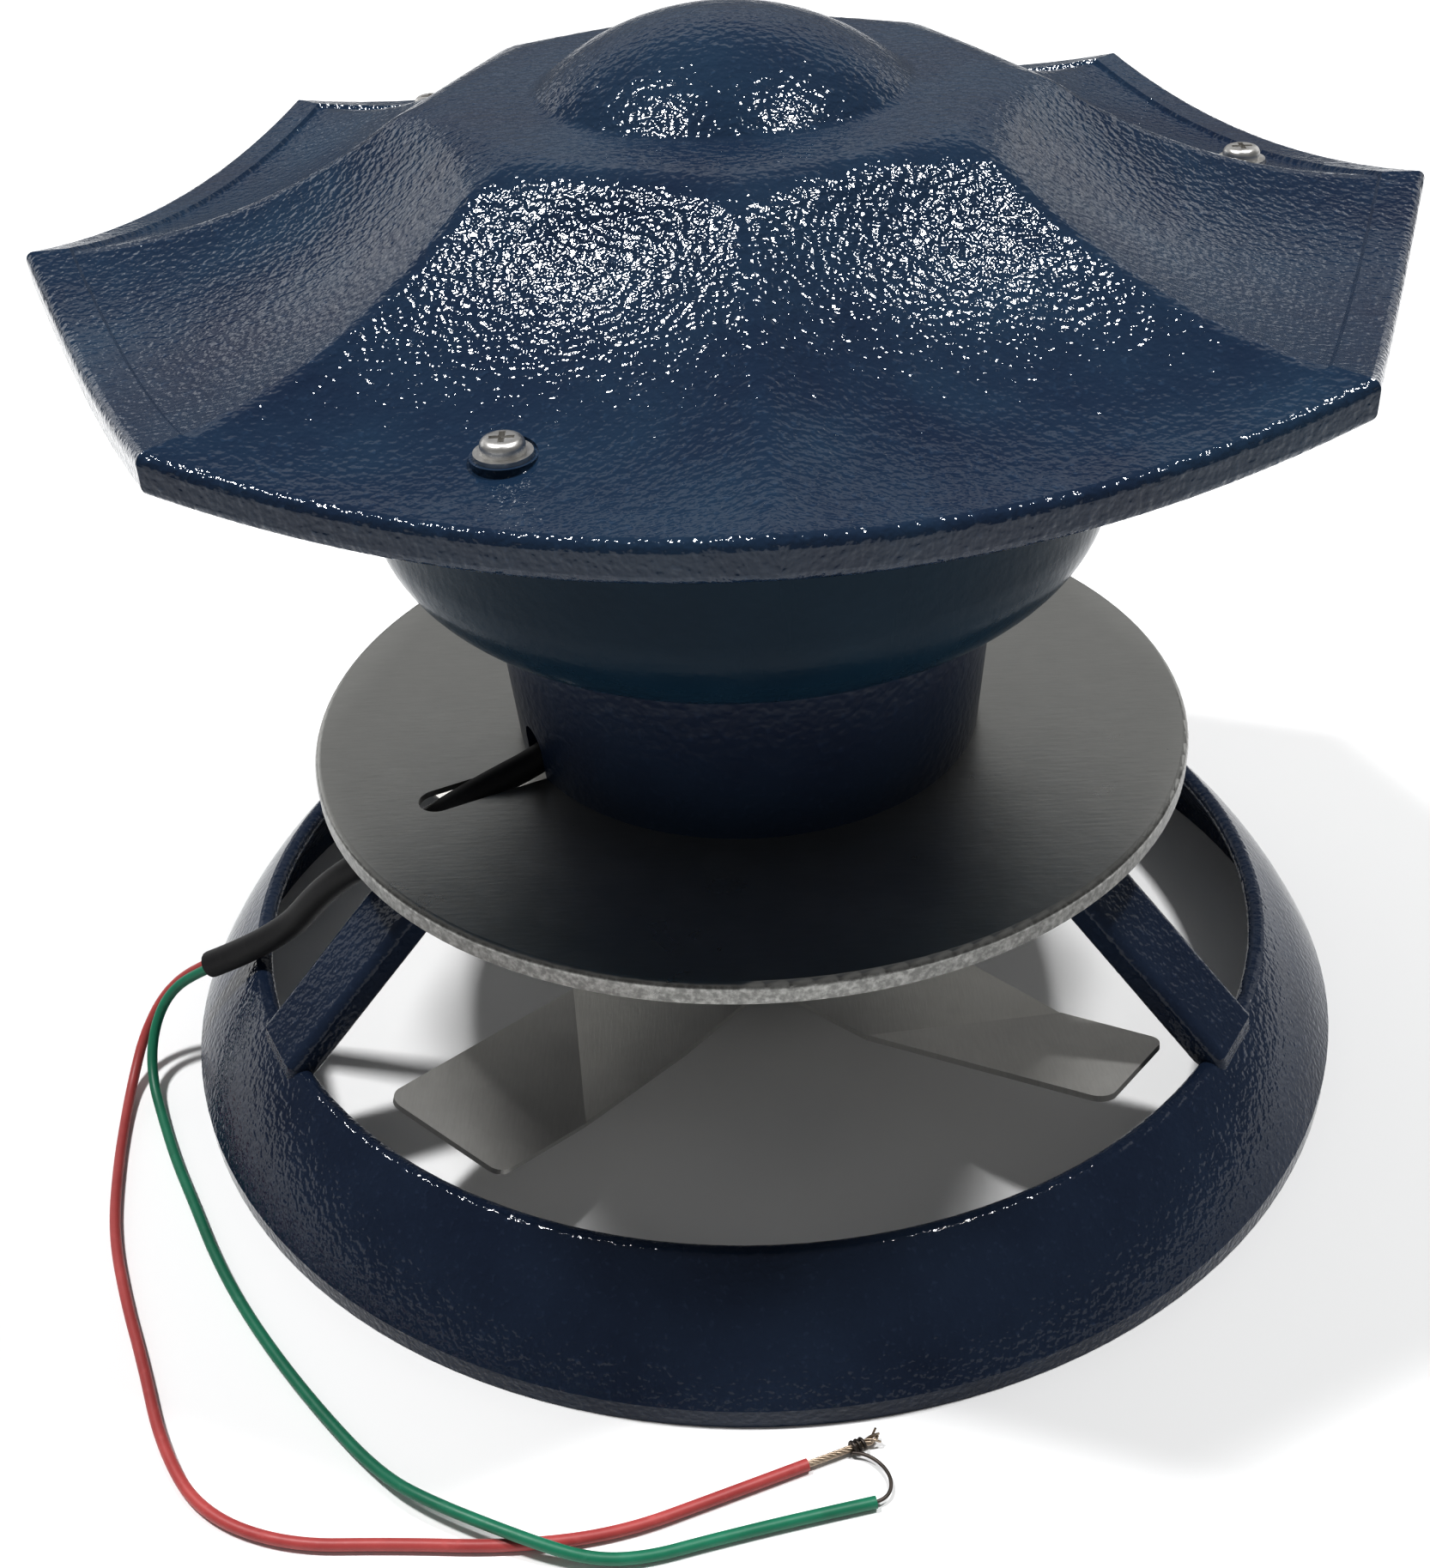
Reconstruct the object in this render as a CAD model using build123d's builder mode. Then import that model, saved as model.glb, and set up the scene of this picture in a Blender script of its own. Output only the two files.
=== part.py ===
from build123d import *
import os
from math import acos, atan2, cos, radians, sin, sqrt, tan

# Chimney draught fan. Millimetres, Z up, the shaft on the Z axis, the ring's foot on Z = 0, the front towards -Y.
# Angles are in degrees from +X, counter-clockwise seen from above.

# Base casting: ring, arms and hub
RING_RADIUS = 150.0
RING_TOP_RADIUS = 130.5
RING_HEIGHT = 32.0
RING_WALL = 6.0
RING_SKIRT = 5.0
RING_BULGE = 1.2
RING_ROUND = 2.2
RING_FLAT = 0.5
ARM_COUNT = 3
ARM_ANGLE = -152.3
ARM_WIDTH = 20.0
ARM_THICKNESS = 8.0
ARM_SLOPE = 42.5
ARM_PROUD = 1.5
ARM_ROUND = 2.5
ARM_ROOT = 8.0
HUB_RADIUS = 42.0
HUB_TOP = 70.0
HUB_THICKNESS = 8.0
HUB_BORE = 22.0
BOSS_DIAMETER = 13.0
BOSS_HEIGHT = 15.0

# Heat shield disc
DISC_RADIUS = 107.5
DISC_SHEET = 1.5
DISC_LIP = 5.0
DISC_HOLE = 24.0
SLOT_ANGLE = -153.5
SLOT_WIDTH = 9.0
SLOT_END = 87.0

# Motor cup
CUP_FOOT_RADIUS = 56.8
CUP_TOP_RADIUS = 60.0
CUP_HEIGHT = 41.0
CUP_WALL = 5.5
CUP_FLOOR = 5.0
CUP_HOLE = 26.0
CUP_LUG = 10.0
CUP_LUG_CIRCLE = 50.0
CUP_ARCH_HEIGHT = 12.0

# Bowl
BOWL_RADIUS = 85.0
BOWL_FLAT_RADIUS = 54.0
BOWL_DEPTH = 26.0
BOWL_COLLAR = 44.0
BOWL_SHEET = 2.5
BOWL_HOLE = 88.0
BRIM_RADIUS = 124.0

# Hood
HOOD_SIDES = 8
HOOD_TURN = 2.2
HOOD_RADIUS = 150.0
HOOD_RISE = 10.5
HOOD_CROWN = 27.5
HOOD_DIP = 6.2
HOOD_WALL = 3.2
SHOULDER_RADIUS = 64.0
PLATEAU_RADIUS = 54.0
RIDGE_ROUND = 6.0
LIP_HEIGHT = 8.0
LIP_WIDTH = 5.0
LIP_ROUND = 2.0
BORDER_WIDTH = 9.5
BORDER_STEP = 0.8
DOME_RADIUS = 40.5
DOME_HEIGHT = 16.0
HOOD_SCREW_COUNT = 3
HOOD_SCREW_ANGLE = -110.3
HOOD_SCREW_INSET = 9.0
HOOD_BOSS = 12.0
HOOD_PAD = 0.5
DOME_SINK = 1.0
DOME_BLEND = 3.0

# Fasteners
HOOD_SCREW = 4.0
HOOD_HEAD = 8.0
HOOD_HEAD_HEIGHT = 2.6
HOOD_HEAD_ROUND = 1.5
HOOD_NUT = 3.2
HOOD_WASHER = 10.5
HOOD_WASHER_THICKNESS = 0.8
NUT_CORNER = 4.8
THREAD_GAP = 0.25
THREAD_FIT = 0.06
THREAD_END = 2.0
CROSS_LENGTH = 4.4
CROSS_WIDTH = 1.1
CROSS_DEPTH = 1.4
THROUGH_BOLT = 5.0
THROUGH_CIRCLE = 32.5
THROUGH_HEAD = 8.5
THROUGH_HEAD_HEIGHT = 5.0
THROUGH_NUT = 4.0
BOWL_SCREW = 3.0
BOWL_SCREW_LENGTH = 10.0
BOWL_HEAD = 5.2
BOWL_HEAD_HEIGHT = 2.1

# Motor
MOTOR_RADIUS = 36.0
MOTOR_RIM = 7.0
BELL_PLATE = 4.0
BELL_HEIGHT = 10.0
STATOR_HEIGHT = 26.0
STATOR_BORE = 40.0
AIR_GAP = 0.6
WINDING_HEIGHT = 5.0
WINDING_GAP = 0.5
SHAFT = 8.0
SHAFT_GAP = 0.03
SHAFT_TOP_PROUD = 4.0
BEARING_DIAMETER = 22.0
BEARING_WIDTH = 7.0
BEARING_LIP = 1.5
BEARING_GAP = 0.05

# Propeller
FAN_ANGLE = -131.0
FAN_BLADES = 4
FAN_LEVEL = 16.5
FAN_SHEET = 1.5
FAN_TIP = 119.0
FAN_HUB_RADIUS = 33.0
FAN_BEND = 17.0
BLADE_ROOT = 19.5
BLADE_TIP = 17.0
BLADE_RAKE = 5.0
BLADE_ROUND = 4.0
CREASE_INNER = 51.5
CREASE_OUTER = 85.0
COLLAR_RADIUS = 20.0
COLLAR_FLANGE = 4.0
COLLAR_BODY = 11.0
COLLAR_HEIGHT = 18.0
RIVET = 4.0
RIVET_HEAD = 7.5
RIVET_HEAD_HEIGHT = 1.6
SET_SCREW = 4.0
SET_SCREW_SINK = 0.6
RIVET_CIRCLE = 15.5
SHAFT_WASHER = 1.5
SHAFT_WASHER_RADIUS = 8.0
SHAFT_NUT = 5.0
SHAFT_NUT_CORNER = 7.4
RIVET_TAPER = 30.0

# Cable
SLEEVE = 7.0
SLEEVE_BORE = 5.8
LEAD = 2.6
STRAND = 1.1
BUNDLE = 1.9
LEAD_CLEAR = 0.02
CROSSING_GAP = 0.5
CORD_SHARE = 0.45

# Heights that follow from the sizes above
disc_bottom = HUB_TOP + BOSS_HEIGHT
disc_top = disc_bottom + DISC_SHEET
floor_top = disc_top + CUP_FLOOR
cup_top = disc_top + CUP_HEIGHT
bowl_mid = cup_top + BOWL_DEPTH
brim_bottom = bowl_mid + BOWL_COLLAR
brim_top = brim_bottom + BOWL_SHEET
corner_top = brim_top + HOOD_RISE
crown_top = corner_top + HOOD_CROWN
stator_bottom = floor_top + BELL_HEIGHT
stator_top = stator_bottom + STATOR_HEIGHT
motor_top = stator_top + BELL_HEIGHT
fan_top = FAN_LEVEL + FAN_SHEET
hub_bottom = HUB_TOP - HUB_THICKNESS
boss_angle = ARM_ANGLE + 180.0 / ARM_COUNT
screw_circle = BRIM_RADIUS - HOOD_SCREW_INSET


def polar(radius, angle):
    """Plan position of a point at a radius and an angle."""
    return (radius * cos(radians(angle)), radius * sin(radians(angle)))


def radial_plane(angle):
    """Upright plane through the axis: local x outwards at the angle, local y up."""
    return Plane(
        origin=(0, 0, 0),
        x_dir=(cos(radians(angle)), sin(radians(angle)), 0),
        z_dir=(sin(radians(angle)), -cos(radians(angle)), 0),
    )


def ring_angles(first, count):
    """Angles of a full ring of equal places."""
    return [first + 360.0 * index / count for index in range(count)]


def corner_radii(points):
    """Bend radius at each inner corner of a cord's route, from its shorter run and its turn."""
    radii = []
    for before, here, after in zip(points, points[1:], points[2:]):
        arrive = Vector(here) - Vector(before)
        leave = Vector(after) - Vector(here)
        cosine = arrive.dot(leave) / (arrive.length * leave.length)
        turn = acos(max(-1.0, min(1.0, cosine)))
        radii.append(CORD_SHARE * min(arrive.length, leave.length) / tan(turn / 2))
    return radii


def save(builder, label):
    """Name a finished piece and write it out."""
    builder.part.label = label
    export_step(builder.part, f"parts/{label}.step")


os.makedirs("parts", exist_ok=True)

# Base casting. The ring is a band with a sloping wall, and the arms run from its top edge to the flat hub.
slope_middle = ((RING_RADIUS + RING_TOP_RADIUS) / 2, (RING_SKIRT + RING_HEIGHT) / 2)
slope_run = RING_RADIUS - RING_TOP_RADIUS
slope_rise = RING_HEIGHT - RING_SKIRT
slope_length = sqrt(slope_run**2 + slope_rise**2)
edge_angle = atan2(slope_rise, slope_run) - 4 * RING_BULGE / slope_length
edge_round = (RING_WALL - RING_FLAT) * sin(edge_angle) / 2
bulge = (RING_BULGE * slope_rise / slope_length, RING_BULGE * slope_run / slope_length)
arm_foot = (RING_TOP_RADIUS + ARM_PROUD, RING_HEIGHT + ARM_PROUD)
arm_down = ARM_THICKNESS / cos(radians(ARM_SLOPE))
arm_tangent = tan(radians(ARM_SLOPE))
knee_radius = arm_foot[0] - (HUB_TOP - arm_foot[1]) / arm_tangent
under_knee = arm_foot[0] - (hub_bottom - arm_foot[1] + arm_down) / arm_tangent
root_inner = (RING_TOP_RADIUS - RING_WALL, arm_foot[1] + (ARM_PROUD + RING_WALL) * arm_tangent - arm_down)
root_level = RING_HEIGHT - ARM_ROOT
root_radius = RING_TOP_RADIUS + (RING_HEIGHT - root_level) * slope_run / slope_rise - RING_WALL / 2

with BuildPart() as arm:
    with BuildSketch(Plane.XZ):
        Polygon(
            (0, HUB_TOP), (knee_radius, HUB_TOP), arm_foot, (root_radius, root_level), root_inner,
            (under_knee, hub_bottom), (0, hub_bottom), align=None)
    extrude(amount=ARM_WIDTH / 2, both=True)
    sides = arm.faces().sort_by(Axis.Y)
    fillet([e for e in sides[0].edges() + sides[-1].edges() if e.center().X > HUB_RADIUS / 2], ARM_ROUND)

with BuildPart() as base_casting:
    with BuildSketch(Plane.XZ):
        with BuildLine():
            Polyline((RING_RADIUS - RING_WALL, RING_SKIRT), (RING_RADIUS - RING_WALL, 0), (RING_RADIUS, 0),
                     (RING_RADIUS, RING_SKIRT))
            ThreePointArc((RING_RADIUS, RING_SKIRT),
                          (slope_middle[0] + bulge[0], slope_middle[1] + bulge[1]),
                          (RING_TOP_RADIUS, RING_HEIGHT))
            Line((RING_TOP_RADIUS, RING_HEIGHT), (RING_TOP_RADIUS - RING_WALL, RING_HEIGHT))
            ThreePointArc((RING_TOP_RADIUS - RING_WALL, RING_HEIGHT),
                          (slope_middle[0] + bulge[0] - RING_WALL, slope_middle[1] + bulge[1]),
                          (RING_RADIUS - RING_WALL, RING_SKIRT))
        face = make_face()
        fillet(face.vertices().group_by(Axis.Y)[-1], edge_round)
        fillet([v for v in face.vertices() if v.X == max(w.X for w in face.vertices())], RING_ROUND)
    revolve(axis=Axis.Z)
    with PolarLocations(0, ARM_COUNT, start_angle=ARM_ANGLE):
        add(arm.part)
    with Locations((0, 0, hub_bottom)):
        Cylinder(HUB_RADIUS, HUB_THICKNESS, align=(Align.CENTER, Align.CENTER, Align.MIN))
    with BuildSketch(Plane.XY.offset(HUB_TOP)):
        with Locations([polar(THROUGH_CIRCLE, a) for a in ring_angles(boss_angle, ARM_COUNT)]):
            Circle(BOSS_DIAMETER / 2)
    extrude(amount=BOSS_HEIGHT)
    with BuildSketch(Plane.XY.offset(hub_bottom)):
        Circle(HUB_BORE / 2)
        with Locations([polar(THROUGH_CIRCLE, a) for a in ring_angles(boss_angle, ARM_COUNT)]):
            Circle(THROUGH_BOLT / 2 + THREAD_GAP)
    extrude(amount=disc_bottom - hub_bottom, mode=Mode.SUBTRACT)
save(base_casting, "base_casting")

# Heat shield disc: flat sheet with a turned-down rim, bolt holes and the open slot for the cable.
slot_inner = CUP_FOOT_RADIUS - SLOT_WIDTH
slot_outer = SLOT_END - SLOT_WIDTH / 2

with BuildPart() as shield_disc:
    with BuildSketch(Plane.XZ):
        Polygon(
            (DISC_HOLE / 2, disc_bottom), (DISC_HOLE / 2, disc_top), (DISC_RADIUS, disc_top),
            (DISC_RADIUS, disc_top - DISC_LIP), (DISC_RADIUS - DISC_SHEET, disc_top - DISC_LIP),
            (DISC_RADIUS - DISC_SHEET, disc_bottom), align=None)
    revolve(axis=Axis.Z)
    rim = shield_disc.edges().filter_by(GeomType.CIRCLE).group_by(SortBy.RADIUS)[-1].sort_by(Axis.Z)[-1]
    fillet(rim, DISC_SHEET)
    with BuildSketch(Plane.XY.offset(disc_bottom)):
        with Locations([polar(THROUGH_CIRCLE, a) for a in ring_angles(boss_angle, ARM_COUNT)]):
            Circle(THROUGH_BOLT / 2 + THREAD_GAP)
        with Locations(polar((slot_inner + slot_outer) / 2, SLOT_ANGLE)):
            SlotCenterToCenter(slot_outer - slot_inner, SLOT_WIDTH, rotation=SLOT_ANGLE)
    extrude(amount=DISC_SHEET, mode=Mode.SUBTRACT)
save(shield_disc, "shield_disc")

# Motor cup: tapered cast wall on the disc, a floor for the motor, lugs for the bowl and an arch for the cable.
wall_inner_foot = CUP_FOOT_RADIUS - CUP_WALL
wall_inner_top = CUP_TOP_RADIUS - CUP_WALL

with BuildPart() as motor_cup:
    with BuildSketch(Plane.XZ):
        Polygon(
            (CUP_HOLE / 2, disc_top), (CUP_FOOT_RADIUS, disc_top), (CUP_TOP_RADIUS, cup_top),
            (wall_inner_top, cup_top), (wall_inner_foot, floor_top), (CUP_HOLE / 2, floor_top), align=None)
    revolve(axis=Axis.Z)
    with BuildSketch(Plane.XY.offset(floor_top)):
        with Locations([polar(CUP_LUG_CIRCLE, a) for a in ring_angles(boss_angle, ARM_COUNT)]):
            Circle(CUP_LUG / 2)
    extrude(amount=cup_top - floor_top)
    with BuildSketch(Plane.XY.offset(disc_top)):
        with Locations([polar(THROUGH_CIRCLE, a) for a in ring_angles(boss_angle, ARM_COUNT)]):
            Circle(THROUGH_BOLT / 2 + THREAD_GAP)
    extrude(amount=CUP_FLOOR, mode=Mode.SUBTRACT)
    with BuildSketch(Plane.XY.offset(cup_top)):
        with Locations([polar(CUP_LUG_CIRCLE, a) for a in ring_angles(boss_angle, ARM_COUNT)]):
            Circle(BOWL_SCREW / 2 + SHAFT_GAP)
    extrude(amount=-BOWL_SCREW_LENGTH, mode=Mode.SUBTRACT)
    with BuildSketch(radial_plane(SLOT_ANGLE + 90)):
        with Locations((0, disc_top)):
            Rectangle(SLOT_WIDTH, CUP_ARCH_HEIGHT - SLOT_WIDTH / 2, align=(Align.CENTER, Align.MIN))
        with Locations((0, disc_top + CUP_ARCH_HEIGHT - SLOT_WIDTH / 2)):
            Circle(SLOT_WIDTH / 2)
    arch = extrude(amount=CUP_TOP_RADIUS, mode=Mode.PRIVATE)
    with BuildSketch(Plane.XY.offset(disc_top)):
        Circle(CUP_TOP_RADIUS)
        Circle(slot_inner - SLOT_WIDTH / 2, mode=Mode.SUBTRACT)
    gap_ring = extrude(amount=CUP_HEIGHT, mode=Mode.PRIVATE)
    add(arch & gap_ring, mode=Mode.SUBTRACT)
save(motor_cup, "motor_cup")

# Bowl: flat bottom on the cup's lugs, quarter-oval side, straight collar and a wide brim for the hood.
with BuildPart() as bowl:
    with BuildSketch(Plane.XZ):
        with BuildLine():
            Polyline((BOWL_FLAT_RADIUS, cup_top + BOWL_SHEET), (BOWL_HOLE / 2, cup_top + BOWL_SHEET),
                     (BOWL_HOLE / 2, cup_top), (BOWL_FLAT_RADIUS, cup_top))
            EllipticalCenterArc((BOWL_FLAT_RADIUS, bowl_mid), BOWL_RADIUS - BOWL_FLAT_RADIUS, BOWL_DEPTH,
                                start_angle=270, arc_size=90)
            Polyline((BOWL_RADIUS, bowl_mid), (BOWL_RADIUS, brim_bottom), (BRIM_RADIUS, brim_bottom),
                     (BRIM_RADIUS, brim_top), (BOWL_RADIUS - BOWL_SHEET, brim_top),
                     (BOWL_RADIUS - BOWL_SHEET, bowl_mid))
            EllipticalCenterArc((BOWL_FLAT_RADIUS, bowl_mid), BOWL_RADIUS - BOWL_FLAT_RADIUS - BOWL_SHEET,
                                BOWL_DEPTH - BOWL_SHEET, start_angle=270, arc_size=90)
        make_face()
    revolve(axis=Axis.Z)
    with BuildSketch(Plane.XY.offset(brim_bottom)):
        with Locations([polar(screw_circle, a) for a in ring_angles(HOOD_SCREW_ANGLE, HOOD_SCREW_COUNT)]):
            Circle(HOOD_SCREW / 2 + THREAD_GAP)
    extrude(amount=BOWL_SHEET, mode=Mode.SUBTRACT)
    with BuildSketch(Plane.XY.offset(cup_top)):
        with Locations([polar(CUP_LUG_CIRCLE, a) for a in ring_angles(boss_angle, ARM_COUNT)]):
            Circle(BOWL_SCREW / 2 + THREAD_GAP)
    extrude(amount=BOWL_SHEET, mode=Mode.SUBTRACT)
save(bowl, "bowl")

# Hood. One panel is lofted through a ridge, the panel's middle and the next ridge, and repeated round the dome.
half_side = 180.0 / HOOD_SIDES
side_share = cos(radians(half_side))
panel_middle = HOOD_TURN - 90.0 + half_side


def panel_bend(share, dip):
    """Rim, drop and radius of the hollow arc that lies level at the rim and climbs to the shoulder."""
    drop = HOOD_CROWN + dip
    reach = (HOOD_RADIUS - SHOULDER_RADIUS) * share
    return HOOD_RADIUS * share, drop, (reach**2 + drop**2) / (2 * drop)


def panel_height(radius, share, dip):
    """Height of the hollow arc's top at a radius."""
    rim, drop, bend = panel_bend(share, dip)
    return crown_top - drop + bend - sqrt(bend**2 - (rim - radius) ** 2)


def panel_arc(start, stop, share, dip, lift):
    """Hollow arc along the panel's top between two radii, raised by the lift."""
    middle = (start + stop) / 2
    return ThreePointArc(*[(r, panel_height(r, share, dip) + lift) for r in (start, middle, stop)])


def shoulder_points(share, dip, lift):
    """Points of the shoulder's round, level at the plateau and smooth into the hollow arc, raised by the lift."""
    rim, drop, bend = panel_bend(share, dip)
    out = rim - PLATEAU_RADIUS
    blend = (out**2 + (bend - drop) ** 2 - bend**2) / (2 * drop)
    joint = PLATEAU_RADIUS + out * blend / (blend + bend)
    middle = (PLATEAU_RADIUS + joint) / 2
    return [(r, crown_top - blend + sqrt(blend**2 - (r - PLATEAU_RADIUS) ** 2) + lift)
            for r in (PLATEAU_RADIUS, middle, joint)]


def panel_section(angle, share, dip):
    """Closed section of the hood's wall, its border and its lip in one upright plane."""
    rim = HOOD_RADIUS * share
    border = rim - BORDER_WIDTH * share / side_share
    lip = rim - LIP_WIDTH * share / side_share
    rim_top = panel_height(rim, share, dip) + BORDER_STEP
    lip_bottom = rim_top - LIP_HEIGHT
    shoulder = shoulder_points(share, dip, 0)
    under = shoulder_points(share, dip, -HOOD_WALL)
    inner = DOME_RADIUS - HOOD_WALL
    with BuildSketch(radial_plane(angle)) as section:
        with BuildLine():
            Line((inner, crown_top), shoulder[0])
            ThreePointArc(*shoulder)
            panel_arc(shoulder[-1][0], border, share, dip, 0)
            Line((border, panel_height(border, share, dip)),
                 (border + BORDER_STEP, panel_height(border + BORDER_STEP, share, dip) + BORDER_STEP))
            panel_arc(border + BORDER_STEP, rim, share, dip, BORDER_STEP)
            Polyline((rim, rim_top), (rim, lip_bottom), (lip, lip_bottom),
                     (lip, panel_height(lip, share, dip) - HOOD_WALL))
            panel_arc(lip, under[-1][0], share, dip, -HOOD_WALL)
            ThreePointArc(*under[::-1])
            Polyline(under[0], (inner, crown_top - HOOD_WALL), (inner, crown_top))
        face = make_face()
        fillet([v for v in face.vertices() if abs(v.X - rim) < 0.01], LIP_ROUND)
    return section


def hood_height(radius, angle):
    """Height of the hood's top at a plan position on a panel."""
    middle = panel_middle + 2 * half_side * round((angle - panel_middle) / (2 * half_side))
    along = radius * cos(radians(angle - middle))
    across = radius * sin(radians(angle - middle))
    part_way = abs(across) / (along * tan(radians(half_side)))
    low = panel_height(along, side_share, HOOD_DIP)
    high = panel_height(along / side_share, 1.0, 0.0)
    return low + (high - low) * part_way**2


screw_angles = ring_angles(HOOD_SCREW_ANGLE, HOOD_SCREW_COUNT)
screw_places = [polar(screw_circle, a) for a in screw_angles]
screw_seats = [hood_height(screw_circle, a) + HOOD_PAD for a in screw_angles]
dome_foot = crown_top - DOME_SINK


def dome_line(lift):
    """Upper line of the dome from the axis to its foot, raised by the lift."""
    cap = (DOME_RADIUS**2 + DOME_HEIGHT**2) / (2 * DOME_HEIGHT)
    half_way = sqrt(cap**2 - (DOME_RADIUS / 2) ** 2) - (cap - DOME_HEIGHT)
    ThreePointArc((0, dome_foot + DOME_HEIGHT + lift), (DOME_RADIUS / 2, dome_foot + half_way + lift),
                  (DOME_RADIUS, dome_foot + lift))


panel_sections = [
    panel_section(panel_middle - half_side, 1.0, 0.0),
    panel_section(panel_middle, side_share, HOOD_DIP),
    panel_section(panel_middle + half_side, 1.0, 0.0)]

def on_ridge(edge):
    """True for the long top edge between two panels."""
    start, place, stop = edge @ 0, edge @ 0.5, edge @ 1
    level = panel_height(sqrt(place.X**2 + place.Y**2), 1.0, 0.0)
    run = abs(sqrt(start.X**2 + start.Y**2) - sqrt(stop.X**2 + stop.Y**2))
    return abs(place.Z - level) < LIP_ROUND / 10 and run > (HOOD_RADIUS - SHOULDER_RADIUS) / 2


def on_dome_foot(edge):
    """True for the edge where the dome rises from the plateau."""
    place = edge @ 0.5
    radius = sqrt(place.X**2 + place.Y**2)
    return abs(place.Z - crown_top) < DOME_SINK / 10 and DOME_RADIUS - HOOD_WALL < radius < DOME_RADIUS


with BuildPart() as hood_panel:
    loft(sections=[section.sketch for section in panel_sections])

with BuildPart() as hood:
    with PolarLocations(0, HOOD_SIDES):
        add(hood_panel.part)
    fillet(hood.edges().filter_by(on_ridge), RIDGE_ROUND)
    with BuildSketch(Plane.XZ):
        with BuildLine():
            dome_line(0)
            Line((DOME_RADIUS, dome_foot), (DOME_RADIUS, dome_foot - HOOD_WALL))
            dome_line(-HOOD_WALL)
            Line((0, dome_foot + DOME_HEIGHT - HOOD_WALL), (0, dome_foot + DOME_HEIGHT))
        make_face()
    revolve(axis=Axis.Z)
    fillet(hood.edges().filter_by(on_dome_foot), DOME_BLEND)
    for place, seat in zip(screw_places, screw_seats):
        with BuildSketch(Plane.XY.offset(brim_top)):
            with Locations(place):
                Circle(HOOD_BOSS / 2)
        extrude(amount=seat - brim_top)
        with BuildSketch(Plane.XY.offset(seat)):
            with Locations(place):
                Circle(HOOD_BOSS / 2)
        extrude(amount=HOOD_WALL * 2, mode=Mode.SUBTRACT)
    with BuildSketch(Plane.XY.offset(brim_top)):
        with Locations(screw_places):
            Circle(HOOD_SCREW / 2 + THREAD_GAP)
    extrude(amount=HOOD_CROWN, mode=Mode.SUBTRACT)
save(hood, "hood")

# Hood fasteners: a pan-head cross screw and a washer on each seat, a nut under the brim.
washer_inner = HOOD_SCREW / 2 + THREAD_GAP

with BuildPart() as hood_washers:
    for place, seat in zip(screw_places, screw_seats):
        with BuildSketch(Plane.XY.offset(seat)):
            with Locations(place):
                Circle(HOOD_WASHER / 2)
                Circle(washer_inner, mode=Mode.SUBTRACT)
        extrude(amount=HOOD_WASHER_THICKNESS)
save(hood_washers, "hood_washers")

with BuildPart() as hood_screws:
    for place, seat in zip(screw_places, screw_seats):
        head_foot = seat + HOOD_WASHER_THICKNESS
        shank_foot = brim_bottom - HOOD_NUT - THREAD_END
        with BuildSketch(Plane.XY.offset(shank_foot)):
            with Locations(place):
                Circle(HOOD_SCREW / 2)
        extrude(amount=head_foot - shank_foot)
        with BuildSketch(Plane.XY.offset(head_foot)):
            with Locations(place):
                Circle(HOOD_HEAD / 2)
        extrude(amount=HOOD_HEAD_HEIGHT)
    tops = hood_screws.edges().filter_by(GeomType.CIRCLE).filter_by(lambda e: abs(e.radius - HOOD_HEAD / 2) < 0.01)
    heads_up = [e for e in tops if any(abs(e.center().Z - s - HOOD_WASHER_THICKNESS - HOOD_HEAD_HEIGHT) < 0.01
                                       for s in screw_seats)]
    fillet(heads_up, HOOD_HEAD_ROUND)
    for place, seat in zip(screw_places, screw_seats):
        with BuildSketch(Plane.XY.offset(seat + HOOD_WASHER_THICKNESS + HOOD_HEAD_HEIGHT)):
            with Locations(place):
                Rectangle(CROSS_LENGTH, CROSS_WIDTH)
                Rectangle(CROSS_WIDTH, CROSS_LENGTH)
        extrude(amount=-CROSS_DEPTH, mode=Mode.SUBTRACT)
save(hood_screws, "hood_screws")

with BuildPart() as hood_nuts:
    with BuildSketch(Plane.XY.offset(brim_bottom)):
        with Locations(screw_places):
            RegularPolygon(NUT_CORNER, 6)
            Circle(HOOD_SCREW / 2 + THREAD_FIT, mode=Mode.SUBTRACT)
    extrude(amount=-HOOD_NUT)
save(hood_nuts, "hood_nuts")

# Bowl screws hold the bowl's flat bottom on the cup's lugs.
lug_places = [polar(CUP_LUG_CIRCLE, a) for a in ring_angles(boss_angle, ARM_COUNT)]

with BuildPart() as bowl_screws:
    with BuildSketch(Plane.XY.offset(cup_top + BOWL_SHEET)):
        with Locations(lug_places):
            Circle(BOWL_HEAD / 2)
    extrude(amount=BOWL_HEAD_HEIGHT)
    with BuildSketch(Plane.XY.offset(cup_top + BOWL_SHEET)):
        with Locations(lug_places):
            Circle(BOWL_SCREW / 2)
    extrude(amount=-BOWL_SCREW_LENGTH)
save(bowl_screws, "bowl_screws")

# Motor: two end bells clamp the stator, and the bearings sit in the bells.
through_places = [polar(THROUGH_CIRCLE, a) for a in ring_angles(boss_angle, ARM_COUNT)]
rim_inner = MOTOR_RADIUS - MOTOR_RIM
seat_radius = BEARING_DIAMETER / 2 + BEARING_GAP
house_radius = seat_radius + BELL_PLATE


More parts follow.
